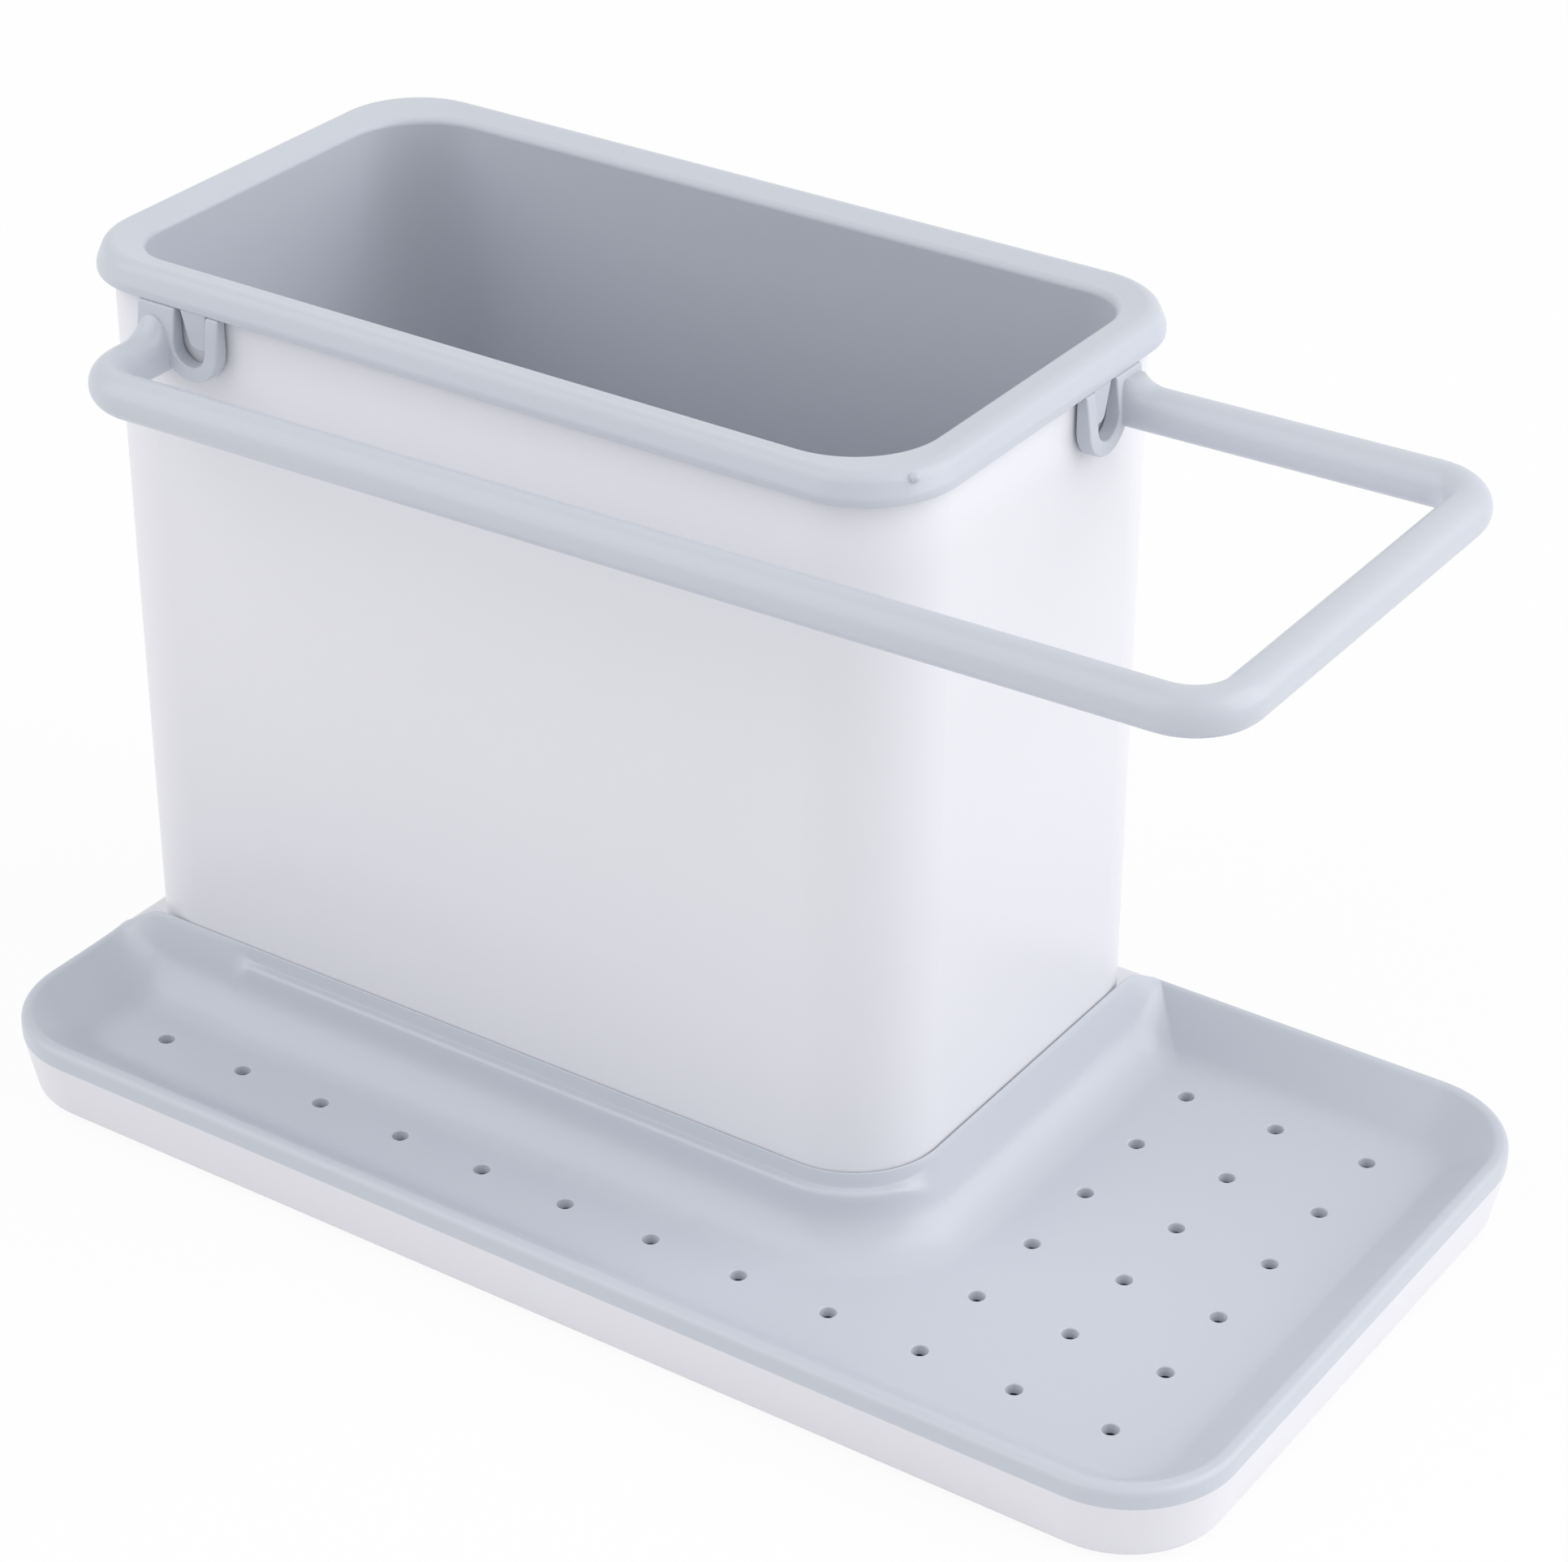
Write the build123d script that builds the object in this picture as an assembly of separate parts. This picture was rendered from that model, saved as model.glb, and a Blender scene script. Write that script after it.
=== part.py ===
from build123d import *
import math
import os

os.makedirs("parts", exist_ok=True)

# Kitchen sink caddy: a white casing that is tower and catch pan in one, a grey perforated
# tray in the pan, a grey bin hung in the tower, and a towel rail clipped under the bin's rim.
# Millimetres, +Z up. The origin is the middle of the footprint, on the surface it stands on.

# Overall sizes
base_length = 225.0
base_depth = 120.0
total_height = 139.0
apron_depth = 36.0
dish_length = 71.5

# Non-slip foot pads
foot_diameter = 12.0
foot_standout = 0.8
foot_recess = 0.8
foot_recess_clearance = 0.25
foot_inset = 17.0

# Catch pan of the casing
base_corner_radius = 18.0
pan_height = 10.4
pan_floor = 2.0
pan_wall = 1.8
pan_bottom_inset = 2.0
pan_edge_radius = 1.6

# Tower of the casing
casing_wall = 1.8
casing_corner_radius = 15.0
plinth_edge_radius = 1.2

# Bin and its rolled rim
rim_overhang = 2.0
rim_flange = 2.0
rim_height = 4.5
rim_corner_radius = 15.5
rim_outer_radius = 2.4
rim_inner_radius = 1.0
rim_low_radius = 0.6
rim_skirt_clearance = 0.3
bin_clearance = 1.6
bin_wall = 2.0
bin_corner_radius = 15.0
bin_floor = 1.8
bin_floor_clearance = 13.2
bin_draft_inset = 3.0
bin_floor_radius = 4.0
bin_hole_diameter = 4.0
bin_hole_columns = 7
bin_hole_rows = 3
bin_hole_end_inset = 15.0
bin_hole_side_inset = 16.0

# Drain tray
tray_drip_gap = 3.2
tray_floor = 1.6
tray_wall = 1.6
tray_lip_height = 3.3
tray_lip_width = 3.0
tray_slope_inset = 6.4
tray_pan_clearance = 0.4
tray_crest_radius = 1.2
tray_blend_radius = 4.0
tray_tower_clearance = 0.4
collar_rise = 5.5
collar_foot_width = 2.6
collar_top_width = 1.3
collar_slope_inset = 2.0
collar_end_start = 1.2
collar_end_run = 8.0
drain_diameter = 3.4
drain_bevel = 0.5
drain_columns = 12
drain_rows = 6
drain_left_inset = 22.8
drain_right_inset = 21.8
drain_back_inset = 18.9
drain_row_share = 0.52

# Towel rail and its two clips
rail_diameter = 7.0
rail_drop = 8.1
rail_rise = 3.4
rail_front_reach = 17.5
rail_right_reach = 60.8
rail_bend_radius = 8.0
rail_left_place = 18.2
rail_back_place = 20.2
clip_wall_clearance = 0.4
clip_rim_clearance = 0.3
clip_thickness = 2.6
clip_band_width = 7.3
clip_band_shift = 0.5
clip_slot_width = 6.2
clip_leg_width = 2.5
clip_slot_drop = 8.7
tongue_top_width = 5.4
tongue_tip_width = 3.4
tongue_tip_radius = 1.2
tongue_thickness = 1.4
tongue_length = 6.2
tongue_clearance = 0.3

# One overrun serves every cut
overrun = 5.0

# Places worked out from the sizes
pan_bottom = foot_standout
pan_floor_top = pan_bottom + pan_floor
pan_top = pan_bottom + pan_height
tray_floor_top = pan_floor_top + tray_drip_gap + tray_floor
tray_crest = pan_top + tray_lip_height
collar_top = tray_crest + collar_rise
bin_floor_height = pan_floor_top + bin_floor_clearance
casing_top = total_height - rim_flange
rim_bottom = total_height - rim_height
base_left = -base_length / 2
base_right = base_length / 2
base_front = -base_depth / 2
base_back = base_depth / 2
casing_left = base_left + rim_overhang
casing_right = base_right - dish_length
casing_back = base_back - rim_overhang
casing_front = base_front + apron_depth
casing_length = casing_right - casing_left
casing_depth = casing_back - casing_front
rim_length = casing_length + 2 * rim_overhang
rim_depth = casing_depth + 2 * rim_overhang
tower_x = (casing_left + casing_right) / 2
tower_y = (casing_front + casing_back) / 2
pan_taper = math.degrees(math.atan(pan_bottom_inset / pan_height))
bin_outer_length = casing_length - 2 * (casing_wall + bin_clearance)
bin_outer_depth = casing_depth - 2 * (casing_wall + bin_clearance)
rail_left = casing_left + rail_left_place
rail_back = casing_back - rail_back_place
rail_front = casing_front - rail_front_reach
rail_right = casing_right + rail_right_reach
clip_top = rim_bottom - clip_rim_clearance
clip_left = clip_band_shift - clip_band_width / 2
clip_slot_left = clip_left + clip_band_width
clip_slot_right = clip_slot_left + clip_slot_width
clip_right = clip_slot_right + clip_leg_width
clip_round_height = rim_bottom - clip_slot_drop + clip_slot_width / 2
tongue_tip = rim_bottom - tongue_length


def slab(length, depth, radius, x, y, z):
    """Rounded rectangle on a level plane, centred on x and y at height z."""
    return Pos(x, y, z) * RectangleRounded(length, depth, radius)


def base_outline(inset, z):
    """Outline of the base drawn in by an inset."""
    return slab(
        base_length - 2 * inset,
        base_depth - 2 * inset,
        base_corner_radius - inset,
        0,
        0,
        z,
    )


def tower_outline(inset, z):
    """Outline of the tower drawn in by an inset, or swollen by a negative one."""
    return slab(
        casing_length - 2 * inset,
        casing_depth - 2 * inset,
        casing_corner_radius - inset,
        tower_x,
        tower_y,
        z,
    )


def tower_corner(growth, z):
    """The tower's front and right faces, run on past the left and back of the base."""
    radius = casing_corner_radius + growth
    length = casing_right - base_left + growth + radius + overrun
    depth = base_back - casing_front + growth + radius + overrun
    return slab(
        length,
        depth,
        radius,
        casing_right + growth - length / 2,
        casing_front - growth + depth / 2,
        z,
    )


def edges_near(body, z, slack):
    """Edges whose middle lies at height z."""
    return body.edges().filter_by(lambda edge: abs(edge.center().Z - z) < slack)


def foot_places():
    """Names and centres of the four foot pads."""
    x = base_right - foot_inset
    y = base_back - foot_inset
    return {
        "foot_pad_front_left": (-x, -y),
        "foot_pad_front_right": (x, -y),
        "foot_pad_back_left": (-x, y),
        "foot_pad_back_right": (x, y),
    }


def make_foot(x, y):
    """Soft disc pressed into a shallow recess under the pan."""
    height = foot_standout + foot_recess
    return Pos(x, y, height / 2) * Cylinder(foot_diameter / 2, height)


def make_casing():
    """Catch pan, plinth and open tower, moulded as one."""
    shell = extrude(base_outline(0, pan_top), pan_height, dir=(0, 0, -1), taper=pan_taper)
    shell = fillet(edges_near(shell, pan_bottom, pan_edge_radius / 2), pan_edge_radius)
    plinth_low = shell & extrude(tower_corner(0, pan_bottom), pan_top)
    plinth_high = extrude(base_outline(0, pan_top) & tower_corner(0, pan_top), tray_lip_height)
    plinth_edges = edges_near(plinth_high, tray_crest, plinth_edge_radius / 2)
    outer_edges = plinth_edges.filter_by(
        lambda edge: edge.center().X < casing_left or edge.center().Y > casing_back
    )
    plinth_high = fillet(outer_edges, plinth_edge_radius)
    well = extrude(
        base_outline(pan_wall, pan_top), pan_top - pan_floor_top, dir=(0, 0, -1), taper=pan_taper
    )
    pan = shell - well
    tower = extrude(tower_outline(0, pan_floor_top), casing_top - pan_floor_top)
    inside = extrude(tower_outline(casing_wall, pan_floor_top), total_height)
    casing = pan + plinth_low + plinth_high + tower - inside
    for x, y in foot_places().values():
        recess = Pos(x, y, pan_bottom) * Cylinder(
            foot_diameter / 2 + foot_recess_clearance, 2 * foot_recess
        )
        casing -= recess
    return casing


def make_tray():
    """L-shaped dish with sloping walls, a raised collar round the tower and drain holes."""
    drop = tray_crest - tray_floor_top
    slope = math.degrees(math.atan(tray_slope_inset / drop))
    collar_slope = math.degrees(math.atan(collar_slope_inset / drop))
    collar_foot = tray_tower_clearance + collar_foot_width
    seat = extrude(
        base_outline(0, pan_top) - tower_corner(tray_tower_clearance, pan_top), tray_lip_height
    )
    seat_edges = edges_near(seat, tray_crest, tray_crest_radius / 2)
    outside_edges = seat_edges.filter_by(
        lambda edge: edge.center().X > casing_right + overrun
        or edge.center().Y < casing_front - overrun
    )
    seat = fillet(outside_edges, tray_crest_radius)
    under_depth = pan_top - tray_floor_top + tray_floor
    under = extrude(
        base_outline(pan_wall + tray_pan_clearance, pan_top),
        under_depth,
        dir=(0, 0, -1),
        taper=slope,
    )
    under -= extrude(
        tower_corner(collar_foot - tray_wall, tray_crest),
        tray_lip_height + under_depth + overrun,
        dir=(0, 0, -1),
        taper=-collar_slope,
    )
    hollow = extrude(base_outline(tray_lip_width, tray_crest), drop, dir=(0, 0, -1), taper=slope)
    hollow -= extrude(
        tower_corner(collar_foot, tray_crest), drop + overrun, dir=(0, 0, -1), taper=-collar_slope
    )
    hollow = fillet(edges_near(hollow, tray_floor_top, tray_blend_radius / 4), tray_blend_radius)
    tray = seat + under + make_collar() - hollow
    for x, y in drain_places():
        tray -= Pos(x, y, tray_floor_top) * Cylinder(drain_diameter / 2, 2 * tray_floor + overrun)
        tray -= Pos(x, y, tray_floor_top - drain_bevel / 2) * Cone(
            drain_diameter / 2, drain_diameter / 2 + drain_bevel, drain_bevel
        )
    return tray


def make_collar():
    """Raised ledge round the tower's foot that falls away to the tray's crest at both ends."""
    collar = extrude(
        tower_corner(tray_tower_clearance + collar_foot_width, tray_crest),
        collar_rise,
        taper=math.degrees(math.atan((collar_foot_width - collar_top_width) / collar_rise)),
    )
    ends = extrude(
        base_outline(collar_end_start, tray_crest),
        collar_rise,
        taper=math.degrees(math.atan(collar_end_run / collar_rise)),
    )
    tower_hole = extrude(tower_corner(tray_tower_clearance, 0), collar_top + overrun)
    return collar & ends - tower_hole


def drain_places():
    """One long row of holes, and short columns of them wherever the right-hand dish is flat."""
    wall = tray_lip_width + tray_slope_inset
    collar = tray_tower_clearance + collar_foot_width + collar_slope_inset
    trough_front = base_front + wall
    trough_back = casing_front - collar
    first_x = base_left + drain_left_inset
    first_y = trough_front + drain_row_share * (trough_back - trough_front)
    step_x = (base_right - drain_right_inset - first_x) / (drain_columns - 1)
    step_y = (base_back - drain_back_inset - first_y) / (drain_rows - 1)
    places = []
    for column in range(drain_columns):
        x = first_x + column * step_x
        rows = drain_rows if x - drain_diameter > casing_right + collar else 1
        places += [(x, first_y + row * step_y) for row in range(rows)]
    return places


def make_tongue():
    """Tapered finger that hangs from the rim into the clip's slot, in the clip's own axes."""
    right = clip_slot_right - tongue_clearance
    top = rim_bottom + rim_low_radius
    outline = Polyline(
        (right - tongue_top_width, top),
        (right, top),
        (right, tongue_tip),
        (right - tongue_tip_width, tongue_tip),
        close=True,
    )
    finger = extrude(Plane.XZ * make_face(outline), tongue_thickness)
    tip_edges = edges_near(finger, tongue_tip, tongue_tip_radius / 2).filter_by(Axis.Y)
    return Pos(0, -rim_skirt_clearance, 0) * fillet(tip_edges, tongue_tip_radius)


def at_left_clip(shape):
    """Set a shape from the clip's axes on the casing's front face."""
    return Pos(rail_left, casing_front, 0) * shape


def at_right_clip(shape):
    """Set a shape from the clip's axes on the casing's right face, mirrored across."""
    turned = Rot(0, 0, 90) * mirror(shape, Plane.YZ)
    return Pos(casing_right, rail_back, 0) * turned


def make_bin():
    """Open bin with a rolled rim that caps the tower, and two fingers for the rail's clips."""
    rim = extrude(
        slab(rim_length, rim_depth, rim_corner_radius, tower_x, tower_y, rim_bottom),
        rim_height,
    )
    rim = fillet(edges_near(rim, total_height, rim_outer_radius / 2), rim_outer_radius)
    rim = fillet(edges_near(rim, rim_bottom, rim_low_radius / 2), rim_low_radius)
    gap_floor = rim_bottom - overrun
    channel = extrude(
        tower_outline(-rim_skirt_clearance, gap_floor)
        - tower_outline(casing_wall + bin_clearance, gap_floor),
        casing_top - gap_floor,
    )
    depth = casing_top - bin_floor_height
    taper = math.degrees(math.atan(bin_draft_inset / depth))
    body = extrude(
        slab(bin_outer_length, bin_outer_depth, bin_corner_radius, tower_x, tower_y, casing_top),
        depth,
        dir=(0, 0, -1),
        taper=taper,
    )
    body = fillet(edges_near(body, bin_floor_height, bin_floor_radius / 4), bin_floor_radius)
    inside = extrude(
        slab(
            bin_outer_length - 2 * bin_wall,
            bin_outer_depth - 2 * bin_wall,
            bin_corner_radius - bin_wall,
            tower_x,
            tower_y,
            casing_top,
        ),
        depth - bin_floor,
        dir=(0, 0, -1),
        taper=taper,
    )
    inner_floor = bin_floor_height + bin_floor
    inner_radius = bin_floor_radius - bin_wall
    inside = fillet(edges_near(inside, inner_floor, inner_radius / 4), inner_radius)
    mouth = extrude(
        slab(
            bin_outer_length - 2 * bin_wall,
            bin_outer_depth - 2 * bin_wall,
            bin_corner_radius - bin_wall,
            tower_x,
            tower_y,
            casing_top,
        ),
        rim_flange + overrun,
    )
    cap = rim - channel - mouth
    cap = fillet(mouth_edges(cap), rim_inner_radius)
    brush_bin = cap + body - inside
    for x, y in bin_hole_places():
        brush_bin -= Pos(x, y, bin_floor_height) * Cylinder(
            bin_hole_diameter / 2, 2 * bin_floor + overrun
        )
    return brush_bin + at_left_clip(make_tongue()) + at_right_clip(make_tongue())


def mouth_edges(cap):
    """Top edges of the bin's mouth, the inner ones of the rim's top face."""
    reach_x = bin_outer_length / 2
    reach_y = bin_outer_depth / 2
    return edges_near(cap, total_height, rim_inner_radius / 4).filter_by(
        lambda edge: abs(edge.center().X - tower_x) < reach_x
        and abs(edge.center().Y - tower_y) < reach_y
    )


def bin_hole_places():
    """Centres of the drain holes in the bin's floor."""
    half_x = bin_outer_length / 2 - bin_draft_inset - bin_hole_end_inset
    half_y = bin_outer_depth / 2 - bin_draft_inset - bin_hole_side_inset
    step_x = 2 * half_x / (bin_hole_columns - 1)
    step_y = 2 * half_y / (bin_hole_rows - 1)
    places = []
    for column in range(bin_hole_columns):
        for row in range(bin_hole_rows):
            places.append((tower_x - half_x + column * step_x, tower_y - half_y + row * step_y))
    return places


def make_clip():
    """J-shaped plate in its own axes: X along the wall from the rod, Z up, the wall at Y 0."""
    face = -clip_wall_clearance - clip_thickness
    slot_x = (clip_slot_left + clip_slot_right) / 2
    round_radius = clip_slot_width / 2
    rise = clip_top - clip_round_height
    plate = Pos((clip_left + clip_right) / 2, 0, clip_round_height + rise / 2) * Box(
        clip_right - clip_left, clip_thickness, rise
    )
    turned = Rot(90, 0, 0)
    plate += Pos(slot_x, 0, clip_round_height) * turned * Cylinder(
        round_radius + clip_leg_width, clip_thickness
    )
    slot_rise = rise + overrun
    plate -= Pos(slot_x, 0, clip_round_height + slot_rise / 2) * Box(
        clip_slot_width, clip_thickness + overrun, slot_rise
    )
    plate -= Pos(slot_x, 0, clip_round_height) * turned * Cylinder(
        round_radius, clip_thickness + overrun
    )
    return Pos(0, face + clip_thickness / 2, 0) * plate


def make_rail():
    """Round rod bent three times, rising a little to the right, with a clip plate on each end."""
    start = casing_front - clip_wall_clearance - clip_thickness / 2
    finish = casing_right + clip_wall_clearance + clip_thickness / 2
    path = FilletPolyline(
        (rail_left, start, rail_height(rail_left)),
        (rail_left, rail_front, rail_height(rail_left)),
        (rail_right, rail_front, rail_height(rail_right)),
        (rail_right, rail_back, rail_height(rail_right)),
        (finish, rail_back, rail_height(finish)),
        radius=rail_bend_radius,
    )
    section = Plane(origin=path @ 0, z_dir=path % 0) * Circle(rail_diameter / 2)
    rod = sweep(section, path=path)
    return rod + at_left_clip(make_clip()) + at_right_clip(make_clip())


def rail_height(x):
    """Height of the rod's middle line at a place along the caddy."""
    return rim_bottom - rail_drop + rail_rise * (x - rail_left) / (rail_right - rail_left)


nodes = {
    "casing": make_casing(),
    "drain_tray": make_tray(),
    "brush_bin": make_bin(),
    "towel_rail": make_rail(),
}
for name, (x, y) in foot_places().items():
    nodes[name] = make_foot(x, y)
for name, shape in nodes.items():
    export_step(shape, f"parts/{name}.step")
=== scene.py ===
import math

import bmesh
import bpy
from mathutils import Matrix, Vector


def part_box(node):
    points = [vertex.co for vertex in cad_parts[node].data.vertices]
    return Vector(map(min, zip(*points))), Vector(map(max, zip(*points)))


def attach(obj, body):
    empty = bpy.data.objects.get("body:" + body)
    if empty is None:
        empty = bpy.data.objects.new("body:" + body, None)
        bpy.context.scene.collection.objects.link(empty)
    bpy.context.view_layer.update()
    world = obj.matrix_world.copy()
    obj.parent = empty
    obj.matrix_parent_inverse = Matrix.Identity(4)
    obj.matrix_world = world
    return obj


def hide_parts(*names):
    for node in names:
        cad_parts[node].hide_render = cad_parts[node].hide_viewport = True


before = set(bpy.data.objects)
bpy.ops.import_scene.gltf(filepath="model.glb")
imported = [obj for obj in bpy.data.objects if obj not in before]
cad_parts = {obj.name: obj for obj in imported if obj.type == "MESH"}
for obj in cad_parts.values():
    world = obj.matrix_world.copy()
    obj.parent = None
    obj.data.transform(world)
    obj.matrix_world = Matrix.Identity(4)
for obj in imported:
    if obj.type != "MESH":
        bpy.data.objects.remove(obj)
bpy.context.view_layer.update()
mm = 0.001
print("frame loaded:", ", ".join(sorted(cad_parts)))


# camera, as fitted to the photograph

cameraSpec = {
    "place": (322.9 * mm, -469.6 * mm, 400.6 * mm),
    "azimuth": 33.95,   # degrees to the right of the front
    "elevation": 30.3,
    "roll": 0.2,
    "focalPixels": 5253,
    "frameWidth": 1932,
    "sensor": 36.0,
    "clipStart": 0.02,
}


def makeCamera(spec):
    data = bpy.data.cameras.new("camera")
    data.sensor_fit = "HORIZONTAL"
    data.sensor_width = spec["sensor"]
    data.lens = spec["focalPixels"] / spec["frameWidth"] * spec["sensor"]
    data.clip_start = spec["clipStart"]
    camera = bpy.data.objects.new("camera", data)
    bpy.context.scene.collection.objects.link(camera)
    turn = (
        Matrix.Rotation(math.radians(spec["azimuth"]), 4, "Z")
        @ Matrix.Rotation(math.radians(90 - spec["elevation"]), 4, "X")
        @ Matrix.Rotation(math.radians(spec["roll"]), 4, "Z")
    )
    camera.matrix_world = Matrix.Translation(Vector(spec["place"])) @ turn
    bpy.context.scene.camera = camera


makeCamera(cameraSpec)
print("camera set")


# materials

plasticSpec = {
    "flowNoise": (13, 3),          # scale and detail; slow drift of tone, as the melt ran
    "pigmentNoise": (220, 1),      # fine speckle in the colour
    "scuffNoise": (60, 2),         # patches rubbed a little smoother
    "flowRange": (0.15, 0.85),     # the noise values that count as none and all
    "fineRange": (0.1, 0.9),
    "toneSpread": 0.012,           # each way from the colour
    "flowTone": (-0.1, 0.9),
    "pigmentTone": (0.0, 0.2),
    "flowRoughness": (-0.04, 0.03),
    "scuffRoughness": (-0.02, 0.02),
    "pigmentRoughness": (-0.01, 0.01),
    "wornRadius": 0.5,             # an edge shows wear this far from it
    "wornSamples": 4,
    "wornBend": (0.85, 0.99),
    "grainDetail": 1,
    "grainDepth": 0.05,
    "ior": 1.47,
}

finishSpec = {                     # the grain's scale and strength
    "whitePlastic": {
        "colour": (0.79, 0.79, 0.835), "roughness": 0.32, "grain": (400, 0.05), "wear": 0.7,
    },
    "greyPlastic": {
        "colour": (0.568, 0.596, 0.664), "roughness": 0.31, "grain": (400, 0.05), "wear": 0.9,
    },
    "footRubber": {
        "colour": (0.30, 0.31, 0.33), "roughness": 0.75, "grain": (2500, 0.30), "wear": 1.5,
    },
}


def mouldedPlastic(name, spec, finish):
    material = bpy.data.materials.new(name)
    material.use_nodes = True
    nodes = material.node_tree.nodes
    links = material.node_tree.links
    shader = nodes["Principled BSDF"]
    place = nodes.new("ShaderNodeTexCoord")

    def noise(scale, detail):
        made = nodes.new("ShaderNodeTexNoise")
        made.inputs["Scale"].default_value = scale
        made.inputs["Detail"].default_value = detail
        links.new(place.outputs["Object"], made.inputs["Vector"])
        return made.outputs["Fac"]

    def ranged(value, fromRange, toRange):
        made = nodes.new("ShaderNodeMapRange")
        made.inputs["From Min"].default_value = fromRange[0]
        made.inputs["From Max"].default_value = fromRange[1]
        made.inputs["To Min"].default_value = toRange[0]
        made.inputs["To Max"].default_value = toRange[1]
        links.new(value, made.inputs["Value"])
        return made.outputs["Result"]

    def added(*values):
        total = values[0]
        for value in values[1:]:
            made = nodes.new("ShaderNodeMath")
            made.operation = "ADD"
            links.new(total, made.inputs[0])
            links.new(value, made.inputs[1])
            total = made.outputs["Value"]
        return total

    flow = noise(*spec["flowNoise"])
    pigment = noise(*spec["pigmentNoise"])
    scuff = noise(*spec["scuffNoise"])
    grainScale, grainStrength = finish["grain"]
    grain = noise(grainScale, spec["grainDetail"])

    edge = nodes.new("ShaderNodeBevel")
    edge.samples = spec["wornSamples"]
    edge.inputs["Radius"].default_value = spec["wornRadius"] * mm
    surface = nodes.new("ShaderNodeNewGeometry")
    facing = nodes.new("ShaderNodeVectorMath")
    facing.operation = "DOT_PRODUCT"
    links.new(edge.outputs["Normal"], facing.inputs[0])
    links.new(surface.outputs["Normal"], facing.inputs[1])

    tone = added(
        ranged(flow, spec["flowRange"], spec["flowTone"]),
        ranged(pigment, spec["fineRange"], spec["pigmentTone"]),
        ranged(facing.outputs["Value"], spec["wornBend"], (finish["wear"], 0)),
    )
    mixed = nodes.new("ShaderNodeMix")
    mixed.data_type = "RGBA"
    mixed.clamp_factor = False
    darker, lighter = 1 - spec["toneSpread"], 1 + spec["toneSpread"]
    mixed.inputs["A"].default_value = (*[c * darker for c in finish["colour"]], 1)
    mixed.inputs["B"].default_value = (*[c * lighter for c in finish["colour"]], 1)
    links.new(tone, mixed.inputs["Factor"])
    links.new(mixed.outputs["Result"], shader.inputs["Base Color"])

    low, high = (finish["roughness"] + change for change in spec["flowRoughness"])
    rough = added(
        ranged(flow, spec["flowRange"], (low, high)),
        ranged(scuff, spec["fineRange"], spec["scuffRoughness"]),
        ranged(pigment, spec["fineRange"], spec["pigmentRoughness"]),
    )
    links.new(rough, shader.inputs["Roughness"])

    bump = nodes.new("ShaderNodeBump")
    bump.inputs["Strength"].default_value = grainStrength
    bump.inputs["Distance"].default_value = spec["grainDepth"] * mm
    links.new(grain, bump.inputs["Height"])
    links.new(bump.outputs["Normal"], shader.inputs["Normal"])
    shader.inputs["IOR"].default_value = spec["ior"]
    return material


whitePlastic, greyPlastic, footRubber = (
    mouldedPlastic(name, plasticSpec, finish) for name, finish in finishSpec.items()
)


def paint(node, material):
    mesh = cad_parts[node].data
    mesh.materials.clear()
    mesh.materials.append(material)


paint("casing", whitePlastic)
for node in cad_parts:
    if node.startswith("foot_pad"):
        paint(node, footRubber)
print("materials made")


# helpers; pieces are modelled in millimetres and brought to metres at the end

near = 0.01            # as good as the same place
weld = 0.001           # points this close become one
smoothAngle = 38       # degrees; sharper edges stay crisp
faceWeight = 60        # how much broad faces count in the shading
edgeAngle = 40
edgeSteps = 3


def boxOf(node):
    low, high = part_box(node)
    return Vector(low) / mm, Vector(high) / mm


def editPiece(name):
    piece = bpy.context.object
    piece.name = name
    piece.data.name = name
    bpy.ops.object.transform_apply(location=True, rotation=True, scale=True)
    bpy.ops.object.mode_set(mode="EDIT")
    return piece


def clearAll():
    if bpy.context.mode != "OBJECT":
        bpy.ops.object.mode_set(mode="OBJECT")
    bpy.ops.object.select_all(action="DESELECT")


def pickFaces(piece, test):
    # selects the faces whose middle and normal pass the test
    bpy.ops.mesh.select_mode(type="FACE")
    bpy.ops.mesh.select_all(action="DESELECT")
    shape = bmesh.from_edit_mesh(piece.data)
    for face in shape.faces:
        if test(face.calc_center_median(), face.normal):
            face.select_set(True)
    bmesh.update_edit_mesh(piece.data)


def pickEdges(piece, test):
    # selects the edges whose two ends, and number of faces, pass the test
    bpy.ops.mesh.select_mode(type="EDGE")
    bpy.ops.mesh.select_all(action="DESELECT")
    shape = bmesh.from_edit_mesh(piece.data)
    for edge in shape.edges:
        if test(edge.verts[0].co, edge.verts[1].co, len(edge.link_faces)):
            edge.select_set(True)
    bmesh.update_edit_mesh(piece.data)


def pickCorners(piece, test):
    bpy.ops.mesh.select_mode(type="VERT")
    bpy.ops.mesh.select_all(action="DESELECT")
    shape = bmesh.from_edit_mesh(piece.data)
    for corner in shape.verts:
        if test(corner.co):
            corner.select_set(True)
    bmesh.update_edit_mesh(piece.data)


def extrudeBy(x, y, z):
    bpy.ops.mesh.extrude_region_move(TRANSFORM_OT_translate={"value": (x, y, z)})


def cutAt(place, normal):
    bpy.ops.mesh.bisect(plane_co=place, plane_no=normal, threshold=weld)


def roundCorners(radius, steps):
    bpy.ops.mesh.bevel(offset=radius, segments=steps, affect="VERTICES", profile=0.5)


def followProfile(profile, upward):
    # insets the selected face from one (inset, height) of the profile to the next
    for (inset, height), (nextInset, nextHeight) in zip(profile, profile[1:]):
        rise = (nextHeight - height) * (1 if upward else -1)
        bpy.ops.mesh.inset(
            thickness=nextInset - inset, depth=rise, use_even_offset=True, use_boundary=True
        )


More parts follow.
